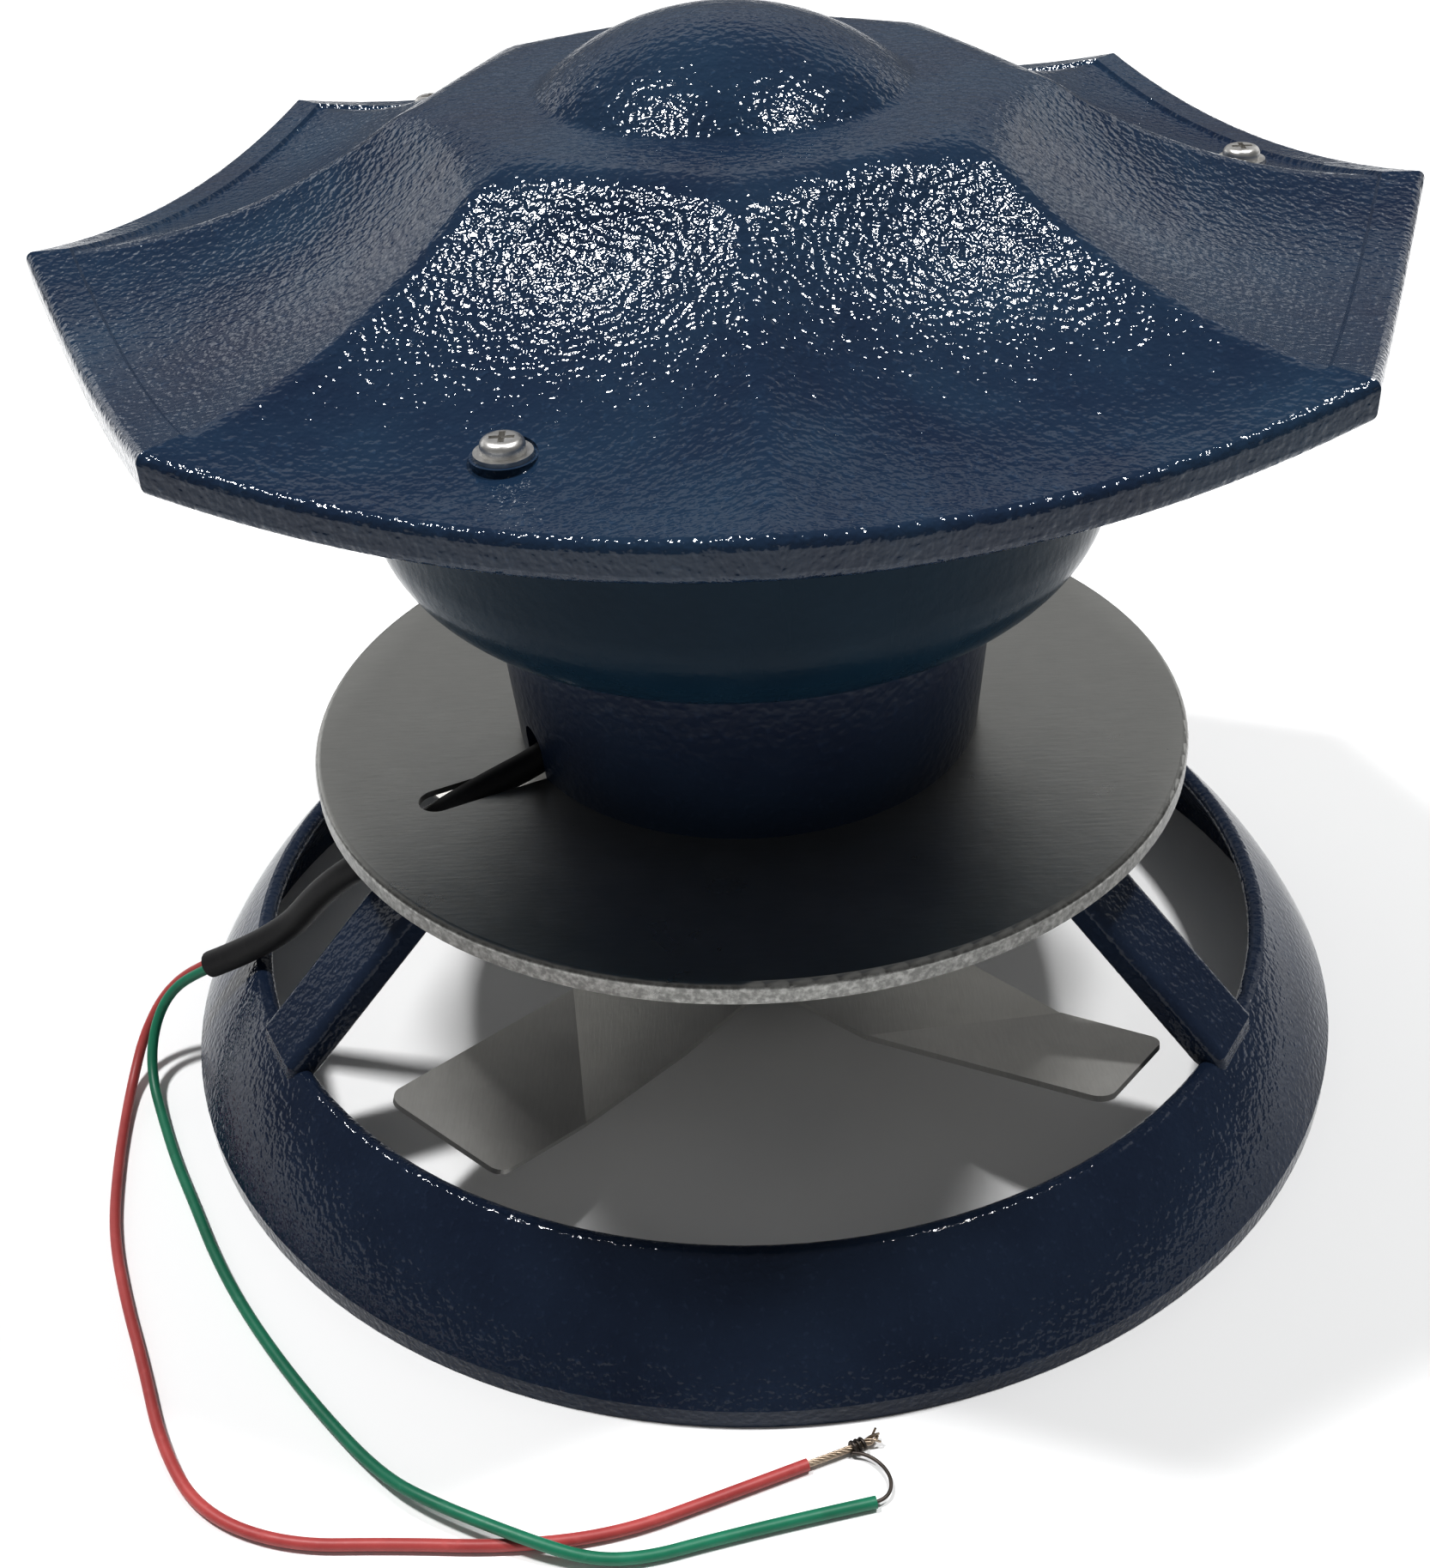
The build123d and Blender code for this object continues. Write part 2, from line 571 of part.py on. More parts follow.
def bell_section(foot, turn):
    """Half section of an end bell, its plate at the foot and its rim towards the stator."""
    points = [
        (seat_radius - BEARING_LIP, 0), (MOTOR_RADIUS, 0), (MOTOR_RADIUS, BELL_HEIGHT), (rim_inner, BELL_HEIGHT),
        (rim_inner, BELL_PLATE), (house_radius, BELL_PLATE), (house_radius, BEARING_LIP + BEARING_WIDTH),
        (seat_radius, BEARING_LIP + BEARING_WIDTH), (seat_radius, BEARING_LIP),
        (seat_radius - BEARING_LIP, BEARING_LIP)]
    return [(r, foot + turn * z) for r, z in points]


with BuildPart() as lower_bell:
    with BuildSketch(Plane.XZ):
        Polygon(*bell_section(floor_top, 1), align=None)
    revolve(axis=Axis.Z)
    with BuildSketch(Plane.XY.offset(floor_top)):
        with Locations(through_places):
            Circle(THROUGH_BOLT / 2 + THREAD_GAP)
    extrude(amount=BELL_HEIGHT, mode=Mode.SUBTRACT)
save(lower_bell, "lower_bell")

with BuildPart() as upper_bell:
    with BuildSketch(Plane.XZ):
        Polygon(*bell_section(motor_top, -1), align=None)
    revolve(axis=Axis.Z)
    with BuildSketch(Plane.XY.offset(motor_top)):
        with Locations(through_places):
            Circle(THROUGH_BOLT / 2 + THREAD_GAP)
    extrude(amount=-BELL_HEIGHT, mode=Mode.SUBTRACT)
save(upper_bell, "upper_bell")

with BuildPart() as stator_core:
    with BuildSketch(Plane.XY.offset(stator_bottom)):
        Circle(MOTOR_RADIUS)
        Circle(STATOR_BORE / 2, mode=Mode.SUBTRACT)
        with Locations(through_places):
            Circle(THROUGH_BOLT / 2 + THREAD_GAP, mode=Mode.SUBTRACT)
    extrude(amount=STATOR_HEIGHT)
save(stator_core, "stator_core")

with BuildPart() as stator_windings:
    for level in (stator_bottom - WINDING_HEIGHT, stator_top):
        with BuildSketch(Plane.XY.offset(level)):
            Circle(rim_inner - WINDING_GAP)
            Circle(STATOR_BORE / 2 + WINDING_GAP, mode=Mode.SUBTRACT)
        extrude(amount=WINDING_HEIGHT)
save(stator_windings, "stator_windings")

bearing_feet = {
    "lower_bearing": floor_top + BEARING_LIP, "upper_bearing": motor_top - BEARING_LIP - BEARING_WIDTH}

for name, foot in bearing_feet.items():
    with BuildPart() as bearing:
        with BuildSketch(Plane.XY.offset(foot)):
            Circle(BEARING_DIAMETER / 2)
            Circle(SHAFT / 2 + SHAFT_GAP, mode=Mode.SUBTRACT)
        extrude(amount=BEARING_WIDTH)
    save(bearing, name)

# Through bolts run from the upper bell down to the hub and hold motor, cup and disc together.

with BuildPart() as through_bolts:
    with BuildSketch(Plane.XY.offset(hub_bottom - THROUGH_NUT - THREAD_END)):
        with Locations(through_places):
            Circle(THROUGH_BOLT / 2)
    extrude(amount=motor_top - hub_bottom + THROUGH_NUT + THREAD_END)
    with BuildSketch(Plane.XY.offset(motor_top)):
        with Locations(through_places):
            Circle(THROUGH_HEAD / 2)
    extrude(amount=THROUGH_HEAD_HEIGHT)
save(through_bolts, "through_bolts")

with BuildPart() as through_nuts:
    with BuildSketch(Plane.XY.offset(hub_bottom)):
        with Locations(through_places):
            RegularPolygon(NUT_CORNER, 6)
            Circle(THROUGH_BOLT / 2 + THREAD_FIT, mode=Mode.SUBTRACT)
    extrude(amount=-THROUGH_NUT)
save(through_nuts, "through_nuts")

# Rotor: shaft, iron core, and rings beside the bearings.
shaft_foot = FAN_LEVEL - SHAFT_WASHER - SHAFT_NUT - THREAD_END

with BuildPart() as motor_shaft:
    with BuildSketch(Plane.XY.offset(shaft_foot)):
        Circle(SHAFT / 2)
    extrude(amount=motor_top + SHAFT_TOP_PROUD - shaft_foot)
save(motor_shaft, "motor_shaft")

with BuildPart() as rotor_core:
    with BuildSketch(Plane.XY.offset(stator_bottom)):
        Circle(STATOR_BORE / 2 - AIR_GAP)
        Circle(SHAFT / 2 + SHAFT_GAP, mode=Mode.SUBTRACT)
    extrude(amount=STATOR_HEIGHT)
save(rotor_core, "rotor_core")

# Propeller: one stamped sheet. Each blade is bent up along a slanting crease.
crease_start = Vector(CREASE_INNER, -BLADE_ROOT)
crease_stop = Vector(CREASE_OUTER, BLADE_TIP)
crease_way = (crease_stop - crease_start).normalized()
crease_out = Vector(-crease_way.Y, crease_way.X) * -1
blade_inner = [(0, -BLADE_ROOT), (CREASE_INNER, -BLADE_ROOT), (CREASE_OUTER, BLADE_TIP), (CREASE_INNER, BLADE_ROOT),
               (0, BLADE_ROOT)]
blade_outer = [(CREASE_INNER, -BLADE_ROOT), (FAN_TIP, -BLADE_TIP), (FAN_TIP - BLADE_RAKE, BLADE_TIP),
               (CREASE_OUTER, BLADE_TIP)]
blade_unfolded = [((Vector(*p) - crease_start).dot(crease_way), (Vector(*p) - crease_start).dot(crease_out))
                  for p in blade_outer]
lift_way = crease_out * cos(radians(FAN_BEND)) + Vector(0, 0, 1) * sin(radians(FAN_BEND))
bend_plane = Plane(
    origin=(crease_start.X, crease_start.Y, FAN_LEVEL), x_dir=crease_way, z_dir=crease_way.cross(lift_way))

with BuildPart() as fan_blade:
    with BuildSketch(Plane.XY.offset(FAN_LEVEL)):
        Polygon(*blade_inner, align=None)
    extrude(amount=FAN_SHEET)
    with BuildSketch(bend_plane) as bent:
        Polygon(*blade_unfolded, align=None)
        fillet(bent.vertices().sort_by_distance((0, 0, 0))[-2:], BLADE_ROUND)
    extrude(amount=FAN_SHEET * (1 if bend_plane.z_dir.Z > 0 else -1))

with BuildPart() as fan_propeller:
    with BuildSketch(Plane.XY.offset(FAN_LEVEL)):
        Circle(FAN_HUB_RADIUS)
    extrude(amount=FAN_SHEET)
    with PolarLocations(0, FAN_BLADES, start_angle=FAN_ANGLE):
        add(fan_blade.part)
    with BuildSketch(Plane.XY.offset(FAN_LEVEL)):
        Circle(SHAFT / 2 + SHAFT_GAP)
        with PolarLocations(RIVET_CIRCLE, FAN_BLADES, start_angle=FAN_ANGLE):
            Circle(RIVET / 2 + THREAD_FIT)
    extrude(amount=FAN_SHEET, mode=Mode.SUBTRACT)
save(fan_propeller, "fan_propeller")

screw_level = fan_top + (COLLAR_FLANGE + COLLAR_HEIGHT) / 2

with BuildPart() as fan_collar:
    with BuildSketch(Plane.XZ):
        Polygon(
            (SHAFT / 2 + SHAFT_GAP, fan_top), (COLLAR_RADIUS, fan_top), (COLLAR_RADIUS, fan_top + COLLAR_FLANGE),
            (COLLAR_BODY, fan_top + COLLAR_FLANGE), (COLLAR_BODY, fan_top + COLLAR_HEIGHT),
            (SHAFT / 2 + SHAFT_GAP, fan_top + COLLAR_HEIGHT), align=None)
    revolve(axis=Axis.Z)
    with BuildSketch(Plane.XY.offset(fan_top)):
        with PolarLocations(RIVET_CIRCLE, FAN_BLADES, start_angle=FAN_ANGLE):
            Circle(RIVET / 2 + THREAD_FIT)
    extrude(amount=COLLAR_FLANGE, mode=Mode.SUBTRACT)
    with BuildSketch(Plane.YZ):
        with Locations((0, screw_level)):
            Circle(SET_SCREW / 2 + THREAD_FIT)
    extrude(amount=COLLAR_BODY, mode=Mode.SUBTRACT)
save(fan_collar, "fan_collar")

with BuildPart() as fan_rivets:
    with BuildSketch(Plane.XY.offset(FAN_LEVEL)):
        with PolarLocations(RIVET_CIRCLE, FAN_BLADES, start_angle=FAN_ANGLE):
            Circle(RIVET / 2)
    extrude(amount=FAN_SHEET + COLLAR_FLANGE)
    for level, way in ((FAN_LEVEL, -1), (fan_top + COLLAR_FLANGE, 1)):
        with BuildSketch(Plane.XY.offset(level)):
            with PolarLocations(RIVET_CIRCLE, FAN_BLADES, start_angle=FAN_ANGLE):
                Circle(RIVET_HEAD / 2)
        extrude(amount=way * RIVET_HEAD_HEIGHT, taper=RIVET_TAPER)
save(fan_rivets, "fan_rivets")

with BuildPart() as set_screw:
    with BuildSketch(Plane.YZ.offset(SHAFT / 2)):
        with Locations((0, screw_level)):
            Circle(SET_SCREW / 2)
    extrude(amount=COLLAR_BODY - SHAFT / 2 - SET_SCREW_SINK)
save(set_screw, "set_screw")

with BuildPart() as shaft_washer:
    with BuildSketch(Plane.XY.offset(FAN_LEVEL)):
        Circle(SHAFT_WASHER_RADIUS)
        Circle(SHAFT / 2 + THREAD_FIT, mode=Mode.SUBTRACT)
    extrude(amount=-SHAFT_WASHER)
save(shaft_washer, "shaft_washer")

with BuildPart() as shaft_nut:
    with BuildSketch(Plane.XY.offset(FAN_LEVEL - SHAFT_WASHER)):
        RegularPolygon(SHAFT_NUT_CORNER, 6)
        Circle(SHAFT / 2 + THREAD_FIT, mode=Mode.SUBTRACT)
    extrude(amount=-SHAFT_NUT)
save(shaft_nut, "shaft_nut")

# Cable: a black sleeve from the motor through the arch and the slot to the ring, then two leads on the table.
lead_rest = LEAD / 2 + LEAD_CLEAR
lead_over = lead_rest + LEAD + CROSSING_GAP
sleeve_route = [
    (-38.9, -19.4, 104), (-43.4, -21.6, 93), (-51, -25.4, 89), (-60, -29.9, 86.8), (-69, -34.2, 84),
    (-79, -37, 79), (-90, -37.5, 72), (-105, -33, 60), (-120, -28.5, 40.5), (-141, -24, 29)]
red_route = [
    (-134.6, -23.9, 32.2), (-145.9, -21.5, 26.3), (-155.5, -21.8, 18.5), (-161.5, -27.5, 9.5), (-163.5, -37, 3),
    (-162.8, -50, lead_rest), (-160.5, -68, lead_rest), (-156.5, -89, lead_rest), (-149, -109, lead_rest),
    (-140, -129, lead_rest), (-131.5, -150, lead_rest), (-120, -167, lead_rest), (-101, -175.5, lead_rest),
    (-78, -176, lead_rest), (-55, -177.5, lead_rest), (-33, -175.5, lead_rest), (-12, -167.5, lead_rest),
    (6, -160.5, lead_rest)]
green_route = [
    (-135.2, -26.7, 32.2), (-146.4, -24.3, 26.3), (-154.5, -25.2, 19.5), (-158.5, -30.5, 11), (-158, -39, 4),
    (-153.5, -50, lead_rest), (-146.5, -66, lead_rest), (-138.5, -81.5, lead_rest), (-130.5, -97.5, lead_rest),
    (-121.5, -112.5, lead_rest), (-110.5, -128, lead_rest), (-98, -143.5, lead_rest), (-85, -158, 1.8),
    (-74, -167.5, lead_over), (-50, -178.6, lead_over), (-38, -181.4, 1.8), (-27, -181, lead_rest),
    (-15, -177.8, lead_rest), (3, -173.5, lead_rest), (19.5, -170, lead_rest)]
red_bare = [(6, -160.5, lead_rest), (13, -157.9, lead_rest), (21, -154.6, lead_rest)]
green_bare = [
    (19.5, -170, lead_rest), (22.3, -169.4, lead_rest), (23, -163.5, lead_rest), (18.9, -157.3, lead_rest)]

for name, route in (("cable_sleeve", sleeve_route), ("red_lead", red_route), ("green_lead", green_route)):
    radii = corner_radii(route)
    print(name, "bend radii", [round(r, 1) for r in radii])
    with BuildPart() as cord:
        with BuildLine() as centre:
            FilletPolyline(*route, radius=radii)
        with BuildSketch(Plane(origin=centre.line @ 0, z_dir=centre.line % 0)):
            if name == "cable_sleeve":
                Circle(SLEEVE / 2)
                Circle(SLEEVE_BORE / 2, mode=Mode.SUBTRACT)
            else:
                Circle(LEAD / 2)
        sweep()
    length = sum(edge.length for edge in centre.line.edges())
    print(name, "length", round(length, 1), "mean section", round(cord.part.volume / length, 3))
    save(cord, name)

with BuildPart() as bare_ends:
    for route, size in ((red_bare, BUNDLE), (green_bare, STRAND)):
        with BuildLine() as strand:
            FilletPolyline(*route, radius=corner_radii(route))
        with BuildSketch(Plane(origin=strand.line @ 0, z_dir=strand.line % 0)):
            Circle(size / 2)
        sweep()
save(bare_ends, "bare_ends")
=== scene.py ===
import logging
import math
from dataclasses import dataclass, field
from enum import Enum
from typing import Any, Iterable, Sequence, Union

import bpy
from mathutils import Matrix, Vector


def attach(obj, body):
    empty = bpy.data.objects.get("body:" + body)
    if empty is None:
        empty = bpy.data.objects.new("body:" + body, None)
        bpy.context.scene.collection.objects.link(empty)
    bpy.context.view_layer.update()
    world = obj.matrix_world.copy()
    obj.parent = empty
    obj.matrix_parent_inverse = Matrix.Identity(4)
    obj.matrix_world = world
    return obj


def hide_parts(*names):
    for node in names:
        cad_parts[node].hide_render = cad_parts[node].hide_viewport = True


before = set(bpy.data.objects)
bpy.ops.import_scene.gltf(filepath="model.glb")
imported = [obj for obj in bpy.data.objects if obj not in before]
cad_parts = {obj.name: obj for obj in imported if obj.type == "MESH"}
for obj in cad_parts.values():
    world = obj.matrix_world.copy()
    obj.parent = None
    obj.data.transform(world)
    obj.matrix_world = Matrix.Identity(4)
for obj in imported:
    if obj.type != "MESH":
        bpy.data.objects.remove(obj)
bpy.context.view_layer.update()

MM = 0.001
Point = tuple[float, float, float]
Colour = tuple[float, float, float]
CLOUD_BAND = (0.3, 0.7)
log = logging.getLogger("chimney_fan")


class Body(Enum):
    """The two rigid bodies of the fan."""

    FIXED = "body"
    ROTOR = "rotor"


class Run(Enum):
    """How a curve runs through its points."""

    SMOOTH = "NURBS"
    STRAIGHT = "POLY"


class Wire:
    """A shader socket that takes part in plain expressions."""

    def __init__(self, graph: "Graph", socket: bpy.types.NodeSocket) -> None:
        """Keep the graph and the output socket.

        Args:
            graph: The material graph that the socket belongs to.
            socket: The output socket.
        """
        self.graph = graph
        self.socket = socket

    def _sum(self, operation: str, first: "Operand", second: "Operand") -> "Wire":
        """Add one Math node.

        Args:
            operation: The Math node's operation.
            first: Left operand.
            second: Right operand.

        Returns:
            The node's value.
        """
        return self.graph.node("ShaderNodeMath", {"operation": operation}, {0: first, 1: second})

    def __add__(self, other: "Operand") -> "Wire":
        """Sum."""
        return self._sum("ADD", self, other)

    def __radd__(self, other: "Operand") -> "Wire":
        """Sum, reflected."""
        return self._sum("ADD", other, self)

    def __sub__(self, other: "Operand") -> "Wire":
        """Difference."""
        return self._sum("SUBTRACT", self, other)

    def __rsub__(self, other: "Operand") -> "Wire":
        """Difference, reflected."""
        return self._sum("SUBTRACT", other, self)

    def __mul__(self, other: "Operand") -> "Wire":
        """Product."""
        return self._sum("MULTIPLY", self, other)

    def __rmul__(self, other: "Operand") -> "Wire":
        """Product, reflected."""
        return self._sum("MULTIPLY", other, self)

    def __pow__(self, other: "Operand") -> "Wire":
        """Power."""
        return self._sum("POWER", self, other)


Operand = Union[Wire, float, int, Sequence[float]]


class Graph:
    """Node graph of one material, with a Principled surface at its end."""

    def __init__(self, name: str) -> None:
        """Start an empty material.

        Args:
            name: The material's name.
        """
        self.material = bpy.data.materials.new(name)
        self.material.use_nodes = True
        self.tree = self.material.node_tree
        self.tree.nodes.clear()

    def node(self, kind: str, settings: dict[str, Any], inputs: dict[Any, Operand], output: Any = 0) -> Wire:
        """Add any node.

        Args:
            kind: Blender's type name of the node.
            settings: Attributes that are set first.
            inputs: Values or wires by socket name or number.
            output: Name or number of the socket to return.

        Returns:
            The chosen output.
        """
        made = self.tree.nodes.new(kind)
        for key, value in settings.items():
            setattr(made, key, value)
        for key, value in inputs.items():
            if isinstance(value, Wire):
                self.tree.links.new(value.socket, made.inputs[key])
            else:
                made.inputs[key].default_value = value
        return Wire(self, made.outputs[output])

    def place(self) -> Wire:
        """Coordinates of the piece itself."""
        return self.node("ShaderNodeTexCoord", {}, {}, "Object")

    def noise(self, place: Wire, scale: float, detail: float = 4.0, rough: float = 0.55) -> Wire:
        """Fractal noise from 0 to 1.

        Args:
            place: Coordinates.
            scale: Features per metre.
            detail: Number of finer layers.
            rough: Weight of the finer layers.

        Returns:
            The noise value.
        """
        return self.node("ShaderNodeTexNoise", {}, {"Vector": place, "Scale": scale, "Detail": detail,
                                                    "Roughness": rough})

    def stretched(self, place: Wire, scale: Point) -> Wire:
        """Coordinates stretched along each axis.

        Args:
            place: Coordinates.
            scale: Factor along each axis.

        Returns:
            The stretched coordinates.
        """
        return self.node("ShaderNodeMapping", {}, {"Vector": place, "Scale": scale})

    def spread(self, value: Wire, low: float, high: float) -> Wire:
        """Stretch the part of a value between two limits to 0..1.

        Args:
            value: The value.
            low: What becomes 0.
            high: What becomes 1.

        Returns:
            The clamped value.
        """
        return self.node("ShaderNodeMapRange", {"clamp": True},
                         {"Value": value, "From Min": low, "From Max": high})

    def mix(self, share: Operand, first: Operand, second: Operand) -> Wire:
        """Blend two colours.

        Args:
            share: Weight of the second colour.
            first: Colour at 0.
            second: Colour at 1.

        Returns:
            The blended colour.
        """
        full = [c if isinstance(c, Wire) else (*c, 1.0) for c in (first, second)]
        return self.node("ShaderNodeMix", {"data_type": "RGBA"}, {0: share, 6: full[0], 7: full[1]}, 2)

    def bump(self, height: Wire, distance: float, strength: float = 1.0, under: Wire | None = None) -> Wire:
        """Relief from a height.

        Args:
            height: Height from 0 to 1.
            distance: What a height of 1 stands for, in metres.
            strength: How much of it shows.
            under: Another relief below this one.

        Returns:
            The bumped normal.
        """
        inputs: dict[Any, Operand] = {"Height": height, "Distance": distance, "Strength": strength}
        if under is not None:
            inputs["Normal"] = under
        return self.node("ShaderNodeBump", {}, inputs)

    def surface(self, inputs: dict[Any, Operand]) -> bpy.types.Material:
        """Close the graph with its Principled surface.

        Args:
            inputs: Values or wires of the surface's sockets.

        Returns:
            The finished material.
        """
        shader = self.node("ShaderNodeBsdfPrincipled", {}, inputs)
        end = self.tree.nodes.new("ShaderNodeOutputMaterial")
        self.tree.links.new(shader.socket, end.inputs["Surface"])
        return self.material


@dataclass(frozen=True)
class CastPaint:
    """Gloss paint over a rough sand casting. Features per metre, reliefs in metres."""

    name: str
    dark: Colour
    light: Colour
    lump: float = 640.0
    relief: float = 0.00044
    gloss: float = 0.04
    shine: float = 0.34
    cloud: float = 22.0
    grit: float = 1.8
    pit: float = 0.2
    dust: float = 0.18

    def material(self) -> bpy.types.Material:
        """Make the paint."""
        g = Graph(self.name)
        place = g.place()
        lumps = g.noise(place, self.lump, 1.0, 0.45)
        grit = g.noise(place, self.lump * self.grit, 1.0, 0.5)
        cloud = g.noise(place, self.cloud, 4.0, 0.6)
        colour = g.mix(g.spread(cloud, *CLOUD_BAND), self.dark, self.light)
        dust = g.spread(lumps * 0.6 + grit * 0.4, 0.58, 0.75) * self.dust
        colour = g.mix(dust, colour, tuple(min(1.0, c * 2.6 + 0.02) for c in self.light))
        rough = self.gloss + 0.05 * g.spread(cloud, 0.35, 0.75) + 0.03 * grit
        pits = g.bump(grit, self.relief * self.pit, 0.9)
        normal = g.bump(lumps, self.relief, 0.9, pits)
        return g.surface({"Base Color": colour, "Roughness": rough, "Normal": normal,
                          "Specular IOR Level": self.shine})


@dataclass(frozen=True)
class SmoothPaint:
    """Gloss paint over a smooth pressing, with a little orange peel. Features per metre, relief in metres."""

    name: str
    dark: Colour
    light: Colour
    gloss: float = 0.16
    shine: float = 0.16
    relief: float = 0.00025
    peel: float = 420.0
    cloud: float = 18.0
    film: float = 90.0
    film_stretch: Point = (1.0, 1.0, 0.25)

    def material(self) -> bpy.types.Material:
        """Make the paint."""
        g = Graph(self.name)
        place = g.place()
        peel = g.noise(place, self.peel, 2.0, 0.5)
        cloud = g.noise(place, self.cloud, 3.0, 0.55)
        film = g.noise(g.stretched(place, self.film_stretch), self.film, 4.0, 0.6)
        colour = g.mix(g.spread(cloud, *CLOUD_BAND), self.dark, self.light)
        rough = self.gloss + 0.14 * g.spread(film, 0.45, 0.75)
        normal = g.bump(peel, self.relief, 0.5)
        return g.surface({"Base Color": colour, "Roughness": rough, "Normal": normal,
                          "Specular IOR Level": self.shine})


@dataclass(frozen=True)
class SheetMetal:
    """Rolled or galvanised sheet with spangle, streaks, smears and painted shade on its rim. Features per
    metre, lengths in metres.
    """

    name: str
    dark: Colour
    light: Colour
    spangle: float = 120.0
    rough: float = 0.34
    streak: Point = (1.0, 14.0, 1.0)
    metal: float = 0.7
    # The rim fields: radius beyond which painted shade darkens the sheet, how dark that painted shade is, and
    # the width of its blend.
    rim: float = 1.0
    rim_shade_tone: float = 0.5
    rim_fade: float = 0.0006
    line: float = 160.0
    line_relief: float = 0.00008
    smear: float = 26.0
    smear_relief: float = 0.0006
    speck: float = 700.0

    def material(self) -> bpy.types.Material:
        """Make the sheet, with painted shade darkening it beyond its rim radius."""
        g = Graph(self.name)
        place = g.place()
        across, along = (g.node("ShaderNodeSeparateXYZ", {}, {"Vector": place}, axis) for axis in "XY")
        # Mask of the rim beyond the rim radius, where the painted shade goes.
        rim_shade_mask = g.spread((across * across + along * along) ** 0.5, self.rim, self.rim + self.rim_fade)
        cells = g.node("ShaderNodeTexVoronoi", {}, {"Vector": place, "Scale": self.spangle}, "Color")
        tone = g.node("ShaderNodeSeparateColor", {}, {"Color": cells}, "Red")
        streak = g.noise(g.stretched(place, self.streak), self.line, 4.0, 0.65)
        smear = g.noise(place, self.smear, 5.0, 0.62)
        share = g.spread(tone * 0.07 + streak * 0.35 + smear * 0.65, 0.3, 0.85)
        colour = g.mix(share, self.dark, self.light)
        speck = g.spread(g.noise(place, self.speck, 3.0, 0.6), 0.4, 0.68)
        # Painted shade for the rim: the sheet's own tones darkened, with a fine mottle.
        painted_rim_shade = g.mix(speck, tuple(c * self.rim_shade_tone * 0.8 for c in self.dark),
                     tuple(c * self.rim_shade_tone * 1.2 for c in self.light))
        colour = g.mix(rim_shade_mask, colour, painted_rim_shade)
        rough = self.rough + 0.14 * smear + 0.03 * tone
        dents = g.bump(smear, self.smear_relief, 0.25)
        normal = g.bump(streak, self.line_relief, 0.5, dents)
        return g.surface({"Base Color": colour, "Roughness": rough, "Metallic": self.metal, "Normal": normal})


@dataclass(frozen=True)
class Machined:
    """Small machined or plated metal parts. Features per metre, relief in metres."""

    name: str
    dark: Colour
    light: Colour
    rough: float = 0.24
    metal: float = 1.0
    smear: float = 260.0
    tool: float = 700.0
    tool_stretch: Point = (0.2, 0.2, 6.0)
    relief: float = 0.00004

    def material(self) -> bpy.types.Material:
        """Make the metal."""
        g = Graph(self.name)
        place = g.place()
        smear = g.noise(place, self.smear, 4.0, 0.6)
        tool = g.noise(g.stretched(place, self.tool_stretch), self.tool, 2.0, 0.5)
        colour = g.mix(g.spread(smear, *CLOUD_BAND), self.dark, self.light)
        return g.surface({"Base Color": colour, "Roughness": self.rough + 0.2 * smear, "Metallic": self.metal,
                          "Normal": g.bump(tool, self.relief, 0.5)})


@dataclass(frozen=True)
class Insulation:
    """Flexible insulation of a lead or sleeve. Features per metre, relief in metres."""

    name: str
    dark: Colour
    light: Colour
    rough: float = 0.42
    shine: float = 0.45
    cloud: float = 55.0
    grain: float = 900.0
    scuff: float = 240.0
    relief: float = 0.00006

    def material(self) -> bpy.types.Material:
        """Make the insulation."""
        g = Graph(self.name)
        place = g.place()
        cloud = g.noise(place, self.cloud, 4.0, 0.6)
        grain = g.noise(place, self.grain, 3.0, 0.6)
        scuff = g.spread(g.noise(place, self.scuff, 5.0, 0.7), 0.58, 0.74)
        colour = g.mix(g.spread(cloud, *CLOUD_BAND), self.dark, self.light)
        colour = g.mix(scuff * 0.25, colour, tuple(min(1.0, c * 1.4 + 0.05) for c in self.light))
        normal = g.bump(grain, self.relief, 0.5)
        return g.surface({"Base Color": colour, "Roughness": self.rough + 0.2 * scuff + 0.08 * grain,
                          "Normal": normal, "Specular IOR Level": self.shine})


NAVY_CAST = CastPaint("navy_cast", (0.007, 0.015, 0.036), (0.012, 0.030, 0.058))
# Darker copy of the cast paint for the base ring: its lower shine and slightly darker light tone are painted
# shade for the ring lying in the hood's shadow; its lower relief is the base's own smoother finish.
NAVY_BASE_SHADED = CastPaint("navy_base_shaded", (0.009, 0.015, 0.032), (0.016, 0.027, 0.052), relief=0.00028, shine=0.20)
NAVY_CUP = CastPaint("navy_cup", (0.007, 0.013, 0.034), (0.011, 0.024, 0.052), 420.0, 0.0003, 0.3, 0.2)
NAVY_GLOSS = SmoothPaint("navy_gloss", (0.0045, 0.016, 0.030), (0.008, 0.027, 0.047), 0.20, 0.09)
